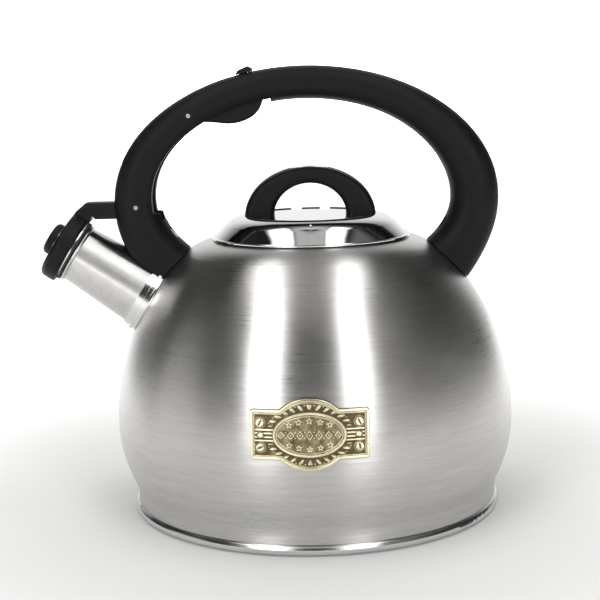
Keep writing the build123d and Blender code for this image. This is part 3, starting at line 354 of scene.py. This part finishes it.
def badge_edge():
    """Points round the badge: a plate with rounded corners and a lobe above and below."""
    notch = BADGE_LOBE_HALF_LENGTH * math.sqrt(1 - (BADGE_HALF_PLATE / BADGE_HALF_LOBE) ** 2)
    start = math.acos(notch / BADGE_LOBE_HALF_LENGTH)
    quarter = []
    length = BADGE_HALF_LENGTH - BADGE_CORNER
    height = BADGE_HALF_PLATE - BADGE_CORNER
    for k in range(int(height / STEP)):
        quarter.append((BADGE_HALF_LENGTH, k * STEP))
    for k in range(9):
        turn = math.pi / 2 * k / 8
        corner = (length + BADGE_CORNER * math.cos(turn), height + BADGE_CORNER * math.sin(turn))
        quarter.append(corner)
    count = int((length - notch) / STEP)
    for k in range(1, count):
        quarter.append((length - (length - notch) * k / count, BADGE_HALF_PLATE))
    for k in range(70):
        turn = start + (math.pi / 2 - start) * k / 70
        quarter.append((BADGE_LOBE_HALF_LENGTH * math.cos(turn), BADGE_HALF_LOBE * math.sin(turn)))
    top = quarter + [(0.0, BADGE_HALF_LOBE)] + [(-u, v) for u, v in reversed(quarter[1:])]
    left = (-BADGE_HALF_LENGTH, 0.0)
    bottom = [(u, -v) for u, v in reversed(top[1:])]
    return top + [left] + bottom


def inside_badge(u, v):
    lobe = (u / BADGE_LOBE_HALF_LENGTH) ** 2 + (v / BADGE_HALF_LOBE) ** 2 < 1
    return lobe or (abs(u) < BADGE_HALF_LENGTH and abs(v) < BADGE_HALF_PLATE)


def hump(distance, half, edge):
    """1 inside half a width, falling smoothly to 0 over the edge."""
    share = (half + edge - abs(distance)) / edge
    share = max(0.0, min(1.0, share))
    return share * share * (3 - 2 * share)


def star(u, v, size):
    """Height of a raised five-pointed star outline."""
    turn = math.atan2(u, v)
    sector = math.pi / 5
    folded = abs((turn + sector) % (2 * sector) - sector)
    reach = size * 0.42 / math.cos(sector - folded)
    tip = size * math.cos(sector * 0.9) / math.cos(sector * 0.9 - folded) * (1 - 0.55 * folded / sector)
    edge = max(reach * 0.9, tip)
    return hump(math.hypot(u, v) - edge * 0.86, size * 0.10, size * 0.16)


OVAL = (16.2 * MM, 9.6 * MM)
BAND = (19.3 * MM, 12.45 * MM)
LEAF_COUNT = 15.0
LEAF_PITCH = math.pi * 15.4 * MM / LEAF_COUNT
LOZENGE_PITCH = 4.3 * MM
ROSETTE_REACH = 22.3 * MM
BARS = (-2.55, -0.95, 0.75, 2.35)
# across and up in millimetres, and the turn of the slot in degrees
SCREWS = [(-22.6, 5.5, 60), (22.6, 5.5, 118), (-22.6, -5.7, 24), (22.6, -5.7, 98)]
STARS = [(-9.3, 4.6), (-4.9, 5.8), (0.0, 6.4), (4.9, 5.8), (9.3, 4.6)]


def oval_gap(u, v, axes):
    """Rough signed distance to an oval, positive outside it."""
    share = math.hypot(u / axes[0], v / axes[1])
    slope = math.hypot(u / axes[0] ** 2, v / axes[1] ** 2)
    return (share - 1) * share / max(slope, 1.0)


def relief(u, v, edge):
    """Raised work of the badge at one point, from 0 in the hollows to 1 on the rims."""
    height = hump(edge - 0.85 * MM, 0.42 * MM, 0.45 * MM)
    height = max(height, 0.62 * hump(edge - 1.95 * MM, 0.14 * MM, 0.28 * MM))
    gap = oval_gap(u, v, OVAL)
    turn = math.atan2(v / OVAL[1], u / OVAL[0])
    rope = 0.80 + 0.20 * math.sin(turn * 96 + gap / MM * 2.4)
    height = max(height, rope * hump(gap, 0.42 * MM, 0.34 * MM))
    height = max(height, 0.75 * hump(gap + 1.15 * MM, 0.12 * MM, 0.26 * MM))
    if gap < -0.9 * MM:
        height = max(height, 0.16, 0.16 + 0.84 * centre_work(u, v))
    else:
        height = max(height, side_work(u, v, gap), band_work(u, v, gap, edge))
    return height


def centre_work(u, v):
    """Stars above and below a row of lozenges and beads, inside the oval."""
    best = 0.0
    for x, y in STARS:
        for side in (1, -1):
            du, dv = u - x * MM, v - side * y * MM
            if abs(du) < 2 * MM and abs(dv) < 2 * MM:
                best = max(best, star(du, dv, 1.55 * MM))
    pitch = LOZENGE_PITCH
    if abs(v) < 2.6 * MM and abs(u) < 3.4 * pitch:
        place = (u + pitch / 2) % pitch - pitch / 2
        fade = 1.0 - 0.10 * abs(u) / pitch
        lozenge = (abs(place) / 1.45 + abs(v) / (2.0 * fade)) - 1 * MM
        best = max(best, hump(lozenge, 0.10 * MM, 0.20 * MM))
        best = max(best, 0.9 * hump(math.hypot(place, v), 0.28 * MM, 0.28 * MM))
        between = (u % pitch) - pitch / 2
        bead = math.hypot(between, abs(v) - 1.25 * MM)
        best = max(best, 0.8 * hump(bead, 0.22 * MM, 0.26 * MM))
    return best


def side_work(u, v, gap):
    """Slotted screw heads in the corners and raised bars beside the oval."""
    best = 0.0
    for x, y, angle in SCREWS:
        du, dv = u - x * MM, v - y * MM
        distance = math.hypot(du, dv)
        if distance < 3 * MM:
            turn = math.radians(angle)
            across = -du * math.sin(turn) + dv * math.cos(turn)
            head = hump(distance, 1.75 * MM, 0.3 * MM)
            slot = hump(across, 0.18 * MM, 0.20 * MM) * hump(distance, 1.25 * MM, 0.25 * MM)
            best = max(best, head * (1 - 0.95 * slot), 0.4 * hump(distance - 2.45 * MM, 0.1 * MM, 0.2 * MM))
    if gap > 0.75 * MM and abs(u) < BADGE_HALF_LENGTH - 2.4 * MM:
        for bar in BARS:
            raised = 0.85 * hump(v - bar * MM, 0.26 * MM, 0.26 * MM)
            best = max(best, raised * hump(abs(u) - 20.5 * MM, 4.2 * MM, 0.4 * MM))
        rosette = math.hypot(abs(u) - ROSETTE_REACH, (v + 0.1 * MM) * 1.1)
        if rosette < 1.9 * MM:
            petals = math.cos(5 * math.atan2(v, abs(u) - ROSETTE_REACH))
            best = max(best * 0.3, 0.75 * hump(rosette, (1.15 + 0.25 * petals) * MM, 0.3 * MM))
    return best


def band_work(u, v, gap, edge):
    """Leaves and beads that run round the lobes outside the oval."""
    if gap < 0.8 * MM or edge < 2.35 * MM or abs(v) < 3.9 * MM:
        return 0.0
    turn = math.atan2(abs(v) / BAND[1], u / BAND[0])
    off = oval_gap(u, v, BAND)
    share = (turn / math.pi) * LEAF_COUNT
    place = (share % 1.0 - 0.5) * LEAF_PITCH
    lean = place - off * 0.35 * (1 if u < 0 else -1)
    leaf = math.hypot(lean / 0.85, off / 1.7)
    vein = hump(lean, 0.06 * MM, 0.14 * MM)
    raised = hump(leaf, 0.62 * MM, 0.34 * MM) * (1 - 0.55 * vein)
    shift = ((share + 0.5) % 1.0 - 0.5) * LEAF_PITCH
    bead = math.hypot(shift, off - 0.9 * MM)
    return max(raised, 0.8 * hump(bead, 0.18 * MM, 0.22 * MM)) * hump(abs(u), 18.4 * MM, 0.8 * MM)


def make_badge():
    """Relief mesh of the badge: a fine sheet over the pot with a wall round its edge."""
    edge = badge_edge()
    tree = kdtree.KDTree(len(edge))
    for index, (u, v) in enumerate(edge):
        tree.insert((u, v, 0), index)
    tree.balance()
    points = [Vector(place) for place in edge]
    across = int(BADGE_HALF_LENGTH / STEP)
    upward = int(BADGE_HALF_LOBE / ROW_PITCH)
    for row in range(-upward, upward + 1):
        for column in range(-across, across + 1):
            u = (column + 0.5 * (row % 2)) * STEP
            v = row * ROW_PITCH
            if inside_badge(u, v) and tree.find((u, v, 0))[2] > STEP * 0.6:
                points.append(Vector((u, v)))
    ring = list(range(len(edge)))
    loops = [(k, (k + 1) % len(edge)) for k in ring]
    made = geometry.delaunay_2d_cdt(points, loops, [ring], 1, STEP * 1e-3)
    flat, faces = made[0], made[2]
    heights = []
    places = []
    for point in flat:
        distance = tree.find((point.x, point.y, 0))[2]
        raised = relief(point.x, point.y, distance)
        rounding = EDGE_ROUNDING * (1 - min(1.0, distance / EDGE_ROUNDING)) ** 2
        heights.append(raised)
        lift = BADGE_FIELD + BADGE_RELIEF * raised - rounding
        places.append(on_pot(point.x, point.y, lift))
    mesh = bpy.data.meshes.new("badge_relief")
    mesh.from_pydata(places, [], faces)
    attribute = mesh.attributes.new("relief", "FLOAT", "POINT")
    attribute.data.foreach_set("value", heights)
    sheet = bmesh.new()
    sheet.from_mesh(mesh)
    bmesh.ops.recalc_face_normals(sheet, faces=sheet.faces)
    rim = [e for e in sheet.edges if e.is_boundary]
    wall = bmesh.ops.extrude_edge_only(sheet, edges=rim)["geom"]
    lower = [v for v in wall if isinstance(v, bmesh.types.BMVert)]
    turn_back = Matrix.Rotation(-BADGE_TURN, 3, "Z")
    for vert in lower:
        place = turn_back @ vert.co
        vert.co = on_pot(place.x * EDGE_DRAFT, place.z - BADGE_CENTRE_Z, BADGE_BASE)
    bmesh.ops.holes_fill(sheet, edges=[e for e in sheet.edges if e.is_boundary], sides=0)
    bmesh.ops.recalc_face_normals(sheet, faces=sheet.faces)
    sheet.to_mesh(mesh)
    sheet.free()
    for polygon in mesh.polygons:
        polygon.use_smooth = True
    mesh.materials.append(MATERIALS["badge_brass"])
    piece = bpy.data.objects.new("badge_relief", mesh)
    bpy.context.scene.collection.objects.link(piece)
    return piece


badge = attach(make_badge(), "kettle")
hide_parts("badge_plate")


# ---- floor ----
FLOOR_RADIUS = 3.0
FLOOR_DROP = 0.1 * MM
GLOW_START = 0.12
GLOW_FULL = 0.50


def make_floor():
    """Large pale sheet under the kettle, which glows away from it so that it fades to white."""
    mesh = bpy.data.meshes.new("floor")
    sheet = bmesh.new()
    bmesh.ops.create_circle(sheet, cap_ends=True, radius=FLOOR_RADIUS, segments=96)
    for vert in sheet.verts:
        vert.co.z = -FLOOR_DROP
    sheet.to_mesh(mesh)
    sheet.free()
    material, graph, sockets = shader("pale_floor")
    cloudy = graph.noise(graph.place(), 5.0, 3.0)
    graph.put(sockets["Base Color"], graph.blend(cloudy, grey(0.50, 0.006), grey(0.54, 0.006)))
    far = graph.vector("LENGTH", graph.place())
    sockets["Emission Color"].default_value = (1, 1, 1, 1)
    graph.put(sockets["Emission Strength"], graph.fit(far, GLOW_START, GLOW_FULL, 0.12, 0.80, True))
    sockets["Roughness"].default_value = 0.75
    sockets["Specular IOR Level"].default_value = 0.15
    mesh.materials.append(material)
    floor = bpy.data.objects.new("floor", mesh)
    bpy.context.scene.collection.objects.link(floor)


make_floor()


# ---- studio light ----
def studio():
    """Two bright soft boxes in front, faint fill beside them, a dim room and a pale wall behind."""
    world = bpy.data.worlds.new("studio")
    bpy.context.scene.world = world
    world.use_nodes = True
    graph = Graph(world.node_tree)
    background = world.node_tree.nodes["Background"]
    x, y, z = graph.split(graph.node("ShaderNodeTexCoord").outputs["Generated"])
    turn = graph.math("ARCTAN2", x, graph.math("MULTIPLY", y, -1.0))
    rise = graph.math("ARCSINE", z)
    degree = math.radians(1.0)
    closing = graph.fit(rise, 20 * degree, 70 * degree, 1.0, 1.33, True)
    side = graph.math("MULTIPLY", x, closing)
    front = graph.fit(y, 0.10, 0.30, 1.0, 0.0, True)

    def window(value, low, high, soft):
        start = graph.fit(value, low - soft, low + soft, 0, 1, True)
        stop = graph.fit(value, high - soft, high + soft, 1, 0, True)
        return graph.math("MULTIPLY", start, stop)

    def panel(sides, soft, rises, strength):
        tall = window(rise, rises[0] * degree, rises[1] * degree, 4 * degree)
        shape = graph.math("MULTIPLY", window(side, *sides, soft), tall)
        return graph.math("MULTIPLY", graph.math("MULTIPLY", shape, front), strength)

    room = graph.fit(graph.math("ABSOLUTE", turn), 125 * degree, 165 * degree, 0.035, 1.0, True)
    total = graph.math("MULTIPLY", room, graph.fit(rise, 15 * degree, 70 * degree, 1.0, 0.30, True))
    # Each panel's extent across, its soft edge, its rise in degrees and its strength.
    boxes = [
        ((-0.61, -0.33), 0.06, (-25, 80), 4.2),
        ((0.29, 0.54), 0.06, (-25, 82), 4.2),
        ((-1.03, -0.93), 0.03, (-20, 45), 0.45),
        ((-0.28, 0.26), 0.06, (56, 84), 0.55),
        ((0.60, 0.84), 0.10, (-20, 60), 0.14),
    ]
    for sides, soft, rises, strength in boxes:
        total = graph.math("ADD", total, panel(sides, soft, rises, strength))
    seen = graph.node("ShaderNodeLightPath").outputs["Is Camera Ray"]
    strength = graph.math("ADD", total, graph.math("MULTIPLY", seen, 2.0))
    background.inputs["Color"].default_value = (1.0, 0.995, 0.985, 1)
    graph.put(background.inputs["Strength"], strength)


def soft_light(name, place, target, size, power):
    """Square area light that mirrors don't show."""
    lamp = bpy.data.lights.new(name, "AREA")
    lamp.shape = "SQUARE"
    lamp.size = size
    lamp.energy = power
    obj = bpy.data.objects.new(name, lamp)
    obj.location = place
    obj.rotation_mode = "QUATERNION"
    obj.rotation_quaternion = (Vector(place) - Vector(target)).to_track_quat("Z", "Y")
    obj.visible_glossy = False
    bpy.context.scene.collection.objects.link(obj)


studio()
soft_light("top_light", place=(0.0, 0.4, 2.2), target=(0, 0, 0), size=2.4, power=34)

# ---- camera ----
PITCH = 0.161
YAW = -0.009
ROLL = -0.025
CAMERA_PLACE = (0, -0.720, 0.224)
FOCAL_LENGTH = 83.4
ahead = Vector((math.sin(YAW) * math.cos(PITCH), math.cos(YAW) * math.cos(PITCH), -math.sin(PITCH)))
level = Vector((math.cos(YAW), -math.sin(YAW), 0))
above = level.cross(ahead)
right = math.cos(ROLL) * level + math.sin(ROLL) * above
top = math.cos(ROLL) * above - math.sin(ROLL) * level
lens = bpy.data.cameras.new("camera")
lens.sensor_width = 36
lens.lens = FOCAL_LENGTH
lens.clip_start = 0.01
camera = bpy.data.objects.new("camera", lens)
bpy.context.scene.collection.objects.link(camera)
turned = Matrix((right, top, -ahead)).transposed().to_4x4()
camera.matrix_world = Matrix.Translation(CAMERA_PLACE) @ turned
bpy.context.scene.camera = camera
